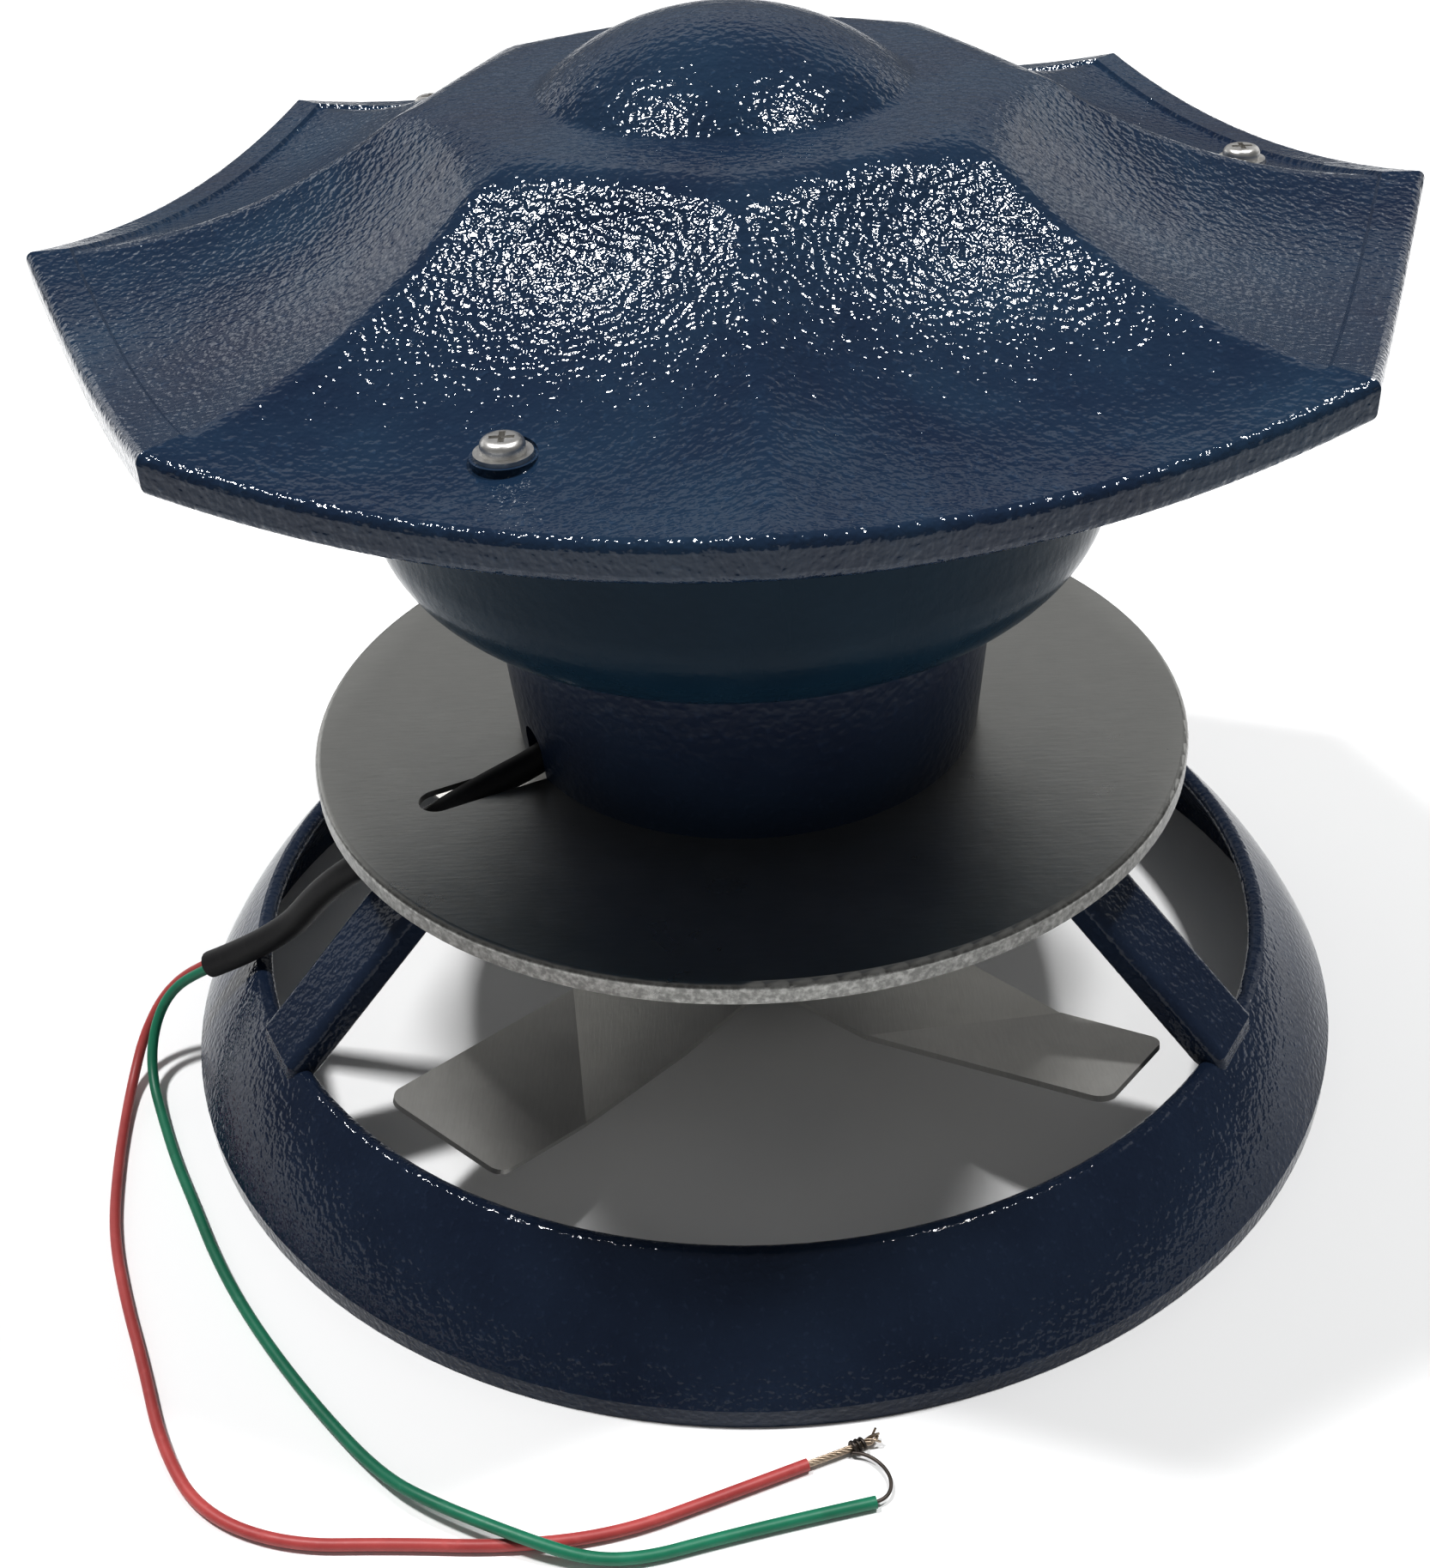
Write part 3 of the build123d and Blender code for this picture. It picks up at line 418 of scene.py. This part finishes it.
# The disc's lip beyond rim=0.1066 m gets painted shade.
GALVANISED = SheetMetal("galvanised", (0.40, 0.40, 0.385), (0.53, 0.53, 0.51), 140.0, 0.22,
                        (1.0, 6.0, 1.0), 0.92, rim=0.1066)
BLADE_SHEET = SheetMetal("blade_sheet", (0.52, 0.51, 0.49), (0.72, 0.71, 0.68), 60.0, 0.34,
                         (12.0, 1.0, 1.0), 0.75)
ZINC = Machined("zinc", (0.52, 0.51, 0.49), (0.80, 0.79, 0.77))
STEEL = Machined("turned_steel", (0.38, 0.38, 0.39), (0.62, 0.62, 0.63), 0.28)
BELL_METAL = Machined("bell_metal", (0.45, 0.45, 0.46), (0.62, 0.62, 0.62), 0.45)
LAMINATION = Machined("lamination", (0.10, 0.10, 0.11), (0.2, 0.2, 0.21), 0.5)
WINDING = Machined("winding", (0.34, 0.10, 0.03), (0.58, 0.22, 0.08), 0.35)
STRAND = Machined("bare_strand", (0.26, 0.20, 0.15), (0.58, 0.48, 0.38), 0.32)
DARK_WIRE = Machined("dark_wire", (0.05, 0.045, 0.04), (0.12, 0.10, 0.09), 0.40)
BLACK_SLEEVE = Insulation("black_sleeve", (0.005, 0.005, 0.006), (0.012, 0.012, 0.013), 0.50, 0.25)
RED_PVC = Insulation("red_pvc", (0.30, 0.040, 0.040), (0.43, 0.072, 0.068), 0.42)
GREEN_PVC = Insulation("green_pvc", (0.006, 0.115, 0.062), (0.012, 0.190, 0.105), 0.40)


def dress(names: Iterable[str], material: bpy.types.Material) -> None:
    """Give CAD nodes a finish.

    Args:
        names: The nodes.
        material: Their finish.
    """
    for name in names:
        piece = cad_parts[name]
        piece.data.materials.clear()
        piece.data.materials.append(material)
        log.info("dressed %s with %s", name, material.name)


@dataclass
class Castings:
    """Painted castings and the bowl between them."""

    hood: tuple[str, ...] = ("hood",)
    base: tuple[str, ...] = ("base_casting",)
    cup: tuple[str, ...] = ("motor_cup",)
    bowl: tuple[str, ...] = ("bowl",)

    def build(self) -> None:
        """Dress the painted pieces."""
        dress(self.hood, NAVY_CAST.material())
        # The base ring gets the darker copy of the cast paint, painted shade for the hood's shadow.
        dress(self.base, NAVY_BASE_SHADED.material())
        dress(self.cup, NAVY_CUP.material())
        dress(self.bowl, NAVY_GLOSS.material())


@dataclass
class Metalwork:
    """Bare metal pieces."""

    shield: tuple[str, ...] = ("shield_disc",)
    blades: tuple[str, ...] = ("fan_propeller", "fan_rivets")
    plated: tuple[str, ...] = ("hood_screws", "hood_washers", "hood_nuts", "bowl_screws", "through_bolts",
                               "through_nuts", "shaft_washer", "shaft_nut")
    steel: tuple[str, ...] = ("motor_shaft", "fan_collar", "set_screw", "lower_bearing", "upper_bearing")
    bells: tuple[str, ...] = ("lower_bell", "upper_bell")
    iron: tuple[str, ...] = ("stator_core", "rotor_core")
    copper: tuple[str, ...] = ("stator_windings",)

    def build(self) -> None:
        """Dress the metal pieces."""
        for names, finish in ((self.shield, GALVANISED), (self.blades, BLADE_SHEET), (self.plated, ZINC),
                              (self.steel, STEEL), (self.bells, BELL_METAL), (self.iron, LAMINATION),
                              (self.copper, WINDING)):
            dress(names, finish.material())


def new_curve(name: str, run: Run, points: Sequence[Sequence[float]]) -> bpy.types.Curve:
    """Make a curve of one open spline.

    Args:
        name: The curve's name.
        run: How it runs through its points.
        points: The points.

    Returns:
        The curve.
    """
    curve = bpy.data.curves.new(name, "CURVE")
    curve.dimensions = "3D"
    spline = curve.splines.new(run.value)
    spline.points.add(len(points) - 1)
    for knot, place in zip(spline.points, points):
        knot.co = (*place, 1.0)
    if run is Run.SMOOTH:
        spline.order_u = 3
        spline.use_endpoint_u = True
    return curve


def round_off(curve: bpy.types.Curve, thickness: float, sides: int) -> bpy.types.Object:
    """Give a curve a round section and put it in the scene.

    Args:
        curve: The curve.
        thickness: Diameter of the section in millimetres.
        sides: Bevel resolution of the section.

    Returns:
        The curve's object.
    """
    curve.bevel_depth = thickness * MM / 2
    curve.bevel_resolution = sides
    curve.use_fill_caps = True
    piece = bpy.data.objects.new(curve.name, curve)
    bpy.context.scene.collection.objects.link(piece)
    return piece


@dataclass
class Lead:
    """One flexible piece that lies along a route of control points in millimetres."""

    name: str
    node: str
    slot: str
    diameter: float
    points: list[Point] = field(default_factory=list)
    fineness: int = 10
    sides: int = 6

    def build(self, material: bpy.types.Material) -> bpy.types.Object:
        """Make the lead as one smooth spline.

        Args:
            material: Its finish.

        Returns:
            The curve object.
        """
        curve = new_curve(self.name, Run.SMOOTH, [[c * MM for c in place] for place in self.points])
        curve.resolution_u = self.fineness
        piece = round_off(curve, self.diameter, self.sides)
        curve.materials.append(material)
        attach(piece, Body.FIXED.value)
        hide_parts(self.node)
        log.info("lead %s", self.name)
        return piece

    def exit(self) -> Point:
        """First point of the route, in metres."""
        return tuple(c * MM for c in self.points[0])

    def length(self, piece: bpy.types.Object) -> float:
        """Length of the spline as drawn.

        Args:
            piece: The lead's curve object.

        Returns:
            The length in metres.
        """
        return sum(s.calc_length() for s in piece.data.splines)


def alone(pieces: Sequence[bpy.types.Object]) -> None:
    """Select only these pieces, the first one active.

    Args:
        pieces: The pieces.
    """
    bpy.ops.object.select_all(action="DESELECT")
    for piece in pieces:
        piece.select_set(True)
    bpy.context.view_layer.objects.active = pieces[0]


LEAD_REST = 1.32
LEAD_OVER = 4.42


@dataclass
class BareEnds:
    """Twisted strands of the red lead, with the green lead's single wire wound round them. Millimetres."""

    bundle: list[Point] = field(default_factory=lambda: [
        (5.4, -160.72, LEAD_REST), (13, -157.9, LEAD_REST), (21, -154.6, LEAD_REST)])
    wire: list[Point] = field(default_factory=lambda: [
        (18.6, -170.22, LEAD_REST), (22.3, -169.4, LEAD_REST), (23.2, -163.5, LEAD_REST),
        (18.6, -158.2, LEAD_REST)])
    strand: float = 0.5
    wire_thickness: float = 0.8
    floor_gap: float = 0.05
    strands: int = 6
    lay: float = 0.5
    turns: float = 2.2
    wrap_from: float = 0.62
    wrap_to: float = 0.80
    wrap_turns: float = 3.0
    splay: float = 1.1
    spread: float = 0.35
    steps: int = 60
    fineness: int = 24
    sides: int = 3

    def route(self, points: Sequence[Point]) -> list[Vector]:
        """Points along the smooth spline through a route.

        Args:
            points: Control points of the route.

        Returns:
            Places along the spline, in millimetres.
        """
        curve = new_curve("route", Run.SMOOTH, points)
        curve.resolution_u = self.fineness
        holder = bpy.data.objects.new("route", curve)
        mesh = bpy.data.meshes.new_from_object(holder)
        places = [v.co.copy() for v in mesh.vertices]
        bpy.data.objects.remove(holder)
        bpy.data.curves.remove(curve)
        bpy.data.meshes.remove(mesh)
        return places

    def along(self, places: Sequence[Vector], share: float) -> tuple[Vector, Vector]:
        """Place and level sideways direction at a share of a route.

        Args:
            places: Places along the route.
            share: Share of its length, from 0 to 1.

        Returns:
            The place and the sideways direction.
        """
        step = share * (len(places) - 1)
        index = min(int(step), len(places) - 2)
        run = places[index + 1] - places[index]
        return places[index] + run * (step - index), Vector((0, 0, 1)).cross(run).normalized()

    def thread(self, name: str, places: Sequence[Vector], thickness: float,
               material: bpy.types.Material) -> bpy.types.Object:
        """One round wire through the places.

        Args:
            name: The wire's name.
            places: Places in millimetres.
            thickness: The wire's diameter in millimetres.
            material: Its finish.

        Returns:
            The wire as a mesh object.
        """
        curve = new_curve(name, Run.STRAIGHT, [place * MM for place in places])
        piece = round_off(curve, thickness, self.sides)
        curve.materials.append(material)
        alone([piece])
        bpy.ops.object.convert(target="MESH")
        return bpy.context.active_object

    def build(self) -> bpy.types.Object:
        """Twist the strands, wind the wire round them and join all to one piece.

        Returns:
            The bare ends.
        """
        tinned, dark = STRAND.material(), DARK_WIRE.material()
        spine = self.route(self.bundle)
        shares = [step / self.steps for step in range(self.steps + 1)]
        wires = [self.thread("strand_core", [self.along(spine, s)[0] for s in shares], self.strand, tinned)]
        for index in range(self.strands):
            places = []
            for share in shares:
                centre, side = self.along(spine, share)
                turn = 2 * math.pi * (index / self.strands + self.turns * share)
                loose = max(0.0, share - self.wrap_to) / (1 - self.wrap_to)
                reach = self.lay + self.spread * loose * (index % 3)
                lift = self.splay * loose**2 * (index % 2 + 0.4)
                places.append(centre + side * math.cos(turn) * reach
                              + Vector((0, 0, 1)) * (max(math.sin(turn) * reach, -self.lay) + lift))
            wires.append(self.thread(f"strand_{index}", places, self.strand, tinned))
        wound = []
        reach = self.lay + (self.strand + self.wire_thickness) / 2
        for step in range(self.steps + 1):
            share = self.wrap_from + (self.wrap_to - self.wrap_from) * step / self.steps
            centre, side = self.along(spine, share)
            turn = -2 * math.pi * self.wrap_turns * step / self.steps - math.pi / 2
            rise = max(math.cos(turn) * reach, self.floor_gap + self.wire_thickness / 2 - centre.z)
            wound.append(centre + side * math.sin(turn) * reach + Vector((0, 0, 1)) * rise)
        path = self.route(self.wire + [tuple(wound[0])]) + wound
        wires.append(self.thread("wire", path, self.wire_thickness, dark))
        alone(wires)
        bpy.ops.object.join()
        piece = bpy.context.active_object
        piece.name = "bare_strands"
        bpy.ops.object.shade_smooth()
        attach(piece, Body.FIXED.value)
        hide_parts("bare_ends")
        log.info("bare ends")
        return piece


@dataclass
class Cable:
    """Sleeve and the two loose leads with their bare ends."""

    sleeve: Lead = field(default_factory=lambda: Lead("sleeve", "cable_sleeve", "black_sleeve", 7.0, [
        (-38.9, -19.4, 104), (-43.4, -21.6, 93), (-51, -25.4, 89), (-60, -29.9, 86.8), (-69, -34.2, 84),
        (-79, -37, 79), (-90, -37.5, 72), (-105, -33, 60), (-120, -28.5, 40.5), (-141, -24, 29)]))
    red: Lead = field(default_factory=lambda: Lead("lead_red", "red_lead", "red_pvc", 2.6, [
        (-134.6, -23.9, 32.2), (-145.9, -21.5, 26.3), (-155.5, -21.8, 18.5), (-161.5, -27.5, 9.5),
        (-163.5, -37, 3), (-162.8, -50, LEAD_REST), (-160.5, -68, LEAD_REST), (-156.5, -89, LEAD_REST),
        (-149, -109, LEAD_REST), (-140, -129, LEAD_REST), (-131.5, -150, LEAD_REST), (-120, -167, LEAD_REST),
        (-101, -175.5, LEAD_REST), (-78, -176, LEAD_REST), (-55, -177.5, LEAD_REST), (-33, -175.5, LEAD_REST),
        (-12, -167.5, LEAD_REST), (6, -160.5, LEAD_REST)]))
    green: Lead = field(default_factory=lambda: Lead("lead_green", "green_lead", "green_pvc", 2.6, [
        (-135.2, -26.7, 32.2), (-146.4, -24.3, 26.3), (-154.5, -25.2, 19.5), (-158.5, -30.5, 11),
        (-158, -39, 4), (-153.5, -50, LEAD_REST), (-146.5, -66, LEAD_REST), (-138.5, -81.5, LEAD_REST),
        (-130.5, -97.5, LEAD_REST), (-121.5, -112.5, LEAD_REST), (-110.5, -128, LEAD_REST),
        (-98, -143.5, LEAD_REST), (-85, -158, 1.8), (-74, -167.5, LEAD_OVER), (-50, -178.6, LEAD_OVER),
        (-38, -181.4, 1.8), (-27, -181, LEAD_REST), (-15, -177.8, LEAD_REST), (3, -173.5, LEAD_REST),
        (19.5, -170, LEAD_REST)]))

    def build(self) -> None:
        """Make the sleeve and the leads."""
        bare = BareEnds().build()
        sleeve = self.sleeve.build(BLACK_SLEEVE.material())
        self.sleeve.exit()
        self.sleeve.length(sleeve)
        for lead, finish, extra in ((self.red, RED_PVC, [bare]), (self.green, GREEN_PVC, [])):
            piece = lead.build(finish.material())
            lead.exit()
            lead.length(piece)


@dataclass(frozen=True)
class Lamp:
    """One soft box. Metres and watts."""

    name: str
    place: Point
    target: Point
    size: tuple[float, float]
    power: float

    def hang(self) -> None:
        """Hang the soft box in the scene."""
        data = bpy.data.lights.new(self.name, "AREA")
        data.shape = "RECTANGLE"
        data.size, data.size_y = self.size
        data.energy = self.power
        lamp = bpy.data.objects.new(self.name, data)
        bpy.context.scene.collection.objects.link(lamp)
        lamp.location = self.place
        lamp.rotation_mode = "QUATERNION"
        lamp.rotation_quaternion = (Vector(self.target) - Vector(self.place)).to_track_quat("-Z", "Y")


HOOD_TARGET = (0.0, 0.0, 0.2)
BOWL_TARGET = (0.0, 0.0, 0.15)


@dataclass
class Studio:
    """Floor, light and camera.

    The camera's place and sensor are in millimetres, its angles in degrees, and its focal length and frame
    height in pixels of the photograph. Floor sizes and clipping distances are in metres.
    """

    camera_place: Point = (0.0, -415.32, 351.23)
    fall: float = 32.17
    tilt: float = -2.64
    pan: float = -1.06
    roll: float = -2.31
    focal: float = 2295.5
    frame_height: float = 1827.0
    sensor: float = 36.0
    floor_size: float = 12.0
    floor_gap: float = 0.0002
    floor_tone: Colour = (0.93, 0.93, 0.93)
    floor_rough: float = 0.8
    floor_shine: float = 0.2
    nearest: float = 0.01
    farthest: float = 50.0
    sky: float = 0.20
    gamma: float = 0.88
    lamps: tuple[Lamp, ...] = (
        Lamp("ceiling_left", (-0.78, 0.10, 2.2), HOOD_TARGET, (0.25, 0.25), 48.0),
        Lamp("ceiling_right", (0.78, 0.10, 2.2), HOOD_TARGET, (0.22, 0.22), 40.0),
        Lamp("back_card", (0.0, 2.3, 1.45), BOWL_TARGET, (3.0, 1.0), 3.4),
        Lamp("back_card_left", (-1.9, 1.7, 0.8), BOWL_TARGET, (1.8, 1.1), 6.0),
        Lamp("back_card_right", (1.9, 1.7, 0.8), BOWL_TARGET, (1.8, 1.1), 5.0))

    def aim(self) -> Matrix:
        """Turn of the camera from its fall, tilt, pan and roll.

        Returns:
            The camera's rotation.
        """
        fall, tilt, pan, roll = (math.radians(a) for a in (self.fall, self.tilt, self.pan, self.roll))
        right = Vector((1, 0, 0))
        forward = Vector((0, math.cos(fall), -math.sin(fall)))
        up = right.cross(forward)
        forward, up = (forward * math.cos(tilt) + up * math.sin(tilt),
                       up * math.cos(tilt) - forward * math.sin(tilt))
        forward, right = (forward * math.cos(pan) + right * math.sin(pan),
                          right * math.cos(pan) - forward * math.sin(pan))
        right, up = (right * math.cos(roll) + up * math.sin(roll),
                     up * math.cos(roll) - right * math.sin(roll))
        return Matrix((right, up, -forward)).transposed()

    def camera(self) -> None:
        """Place the camera where the photograph was taken."""
        data = bpy.data.cameras.new("camera")
        data.sensor_width = self.sensor
        data.lens = self.focal * self.sensor / self.frame_height
        data.clip_start = self.nearest
        data.clip_end = self.farthest
        shot = bpy.data.objects.new("camera", data)
        bpy.context.scene.collection.objects.link(shot)
        shot.matrix_world = Matrix.Translation(Vector(self.camera_place) * MM) @ self.aim().to_4x4()
        bpy.context.scene.camera = shot

    def floor(self) -> None:
        """Lay a plain pale floor."""
        bpy.ops.object.select_all(action="DESELECT")
        bpy.ops.mesh.primitive_plane_add(size=self.floor_size, location=(0, 0, -self.floor_gap))
        floor = bpy.context.active_object
        floor.name = "floor"
        g = Graph("pale_floor")
        paint = g.surface({"Base Color": (*self.floor_tone, 1.0), "Roughness": self.floor_rough,
                           "Specular IOR Level": self.floor_shine})
        floor.data.materials.append(paint)

    def light(self) -> None:
        """Light the scene from two small ceiling lamps and three large soft cards behind."""
        world = bpy.data.worlds.new("studio")
        world.use_nodes = True
        background = world.node_tree.nodes["Background"]
        background.inputs["Color"].default_value = (1.0, 1.0, 1.0, 1.0)
        background.inputs["Strength"].default_value = self.sky
        bpy.context.scene.world = world
        for lamp in self.lamps:
            lamp.hang()
        bpy.context.scene.view_settings.view_transform = "Standard"
        bpy.context.scene.view_settings.gamma = self.gamma

    def build(self) -> None:
        """Set up floor, light and camera."""
        self.floor()
        self.light()
        self.camera()


def main() -> None:
    """Build the studio and dress the fan piece by piece."""
    logging.basicConfig(level=logging.INFO, format="%(message)s")
    Studio().build()
    Cable().build()
    Castings().build()
    Metalwork().build()


if __name__ == "__main__":
    main()
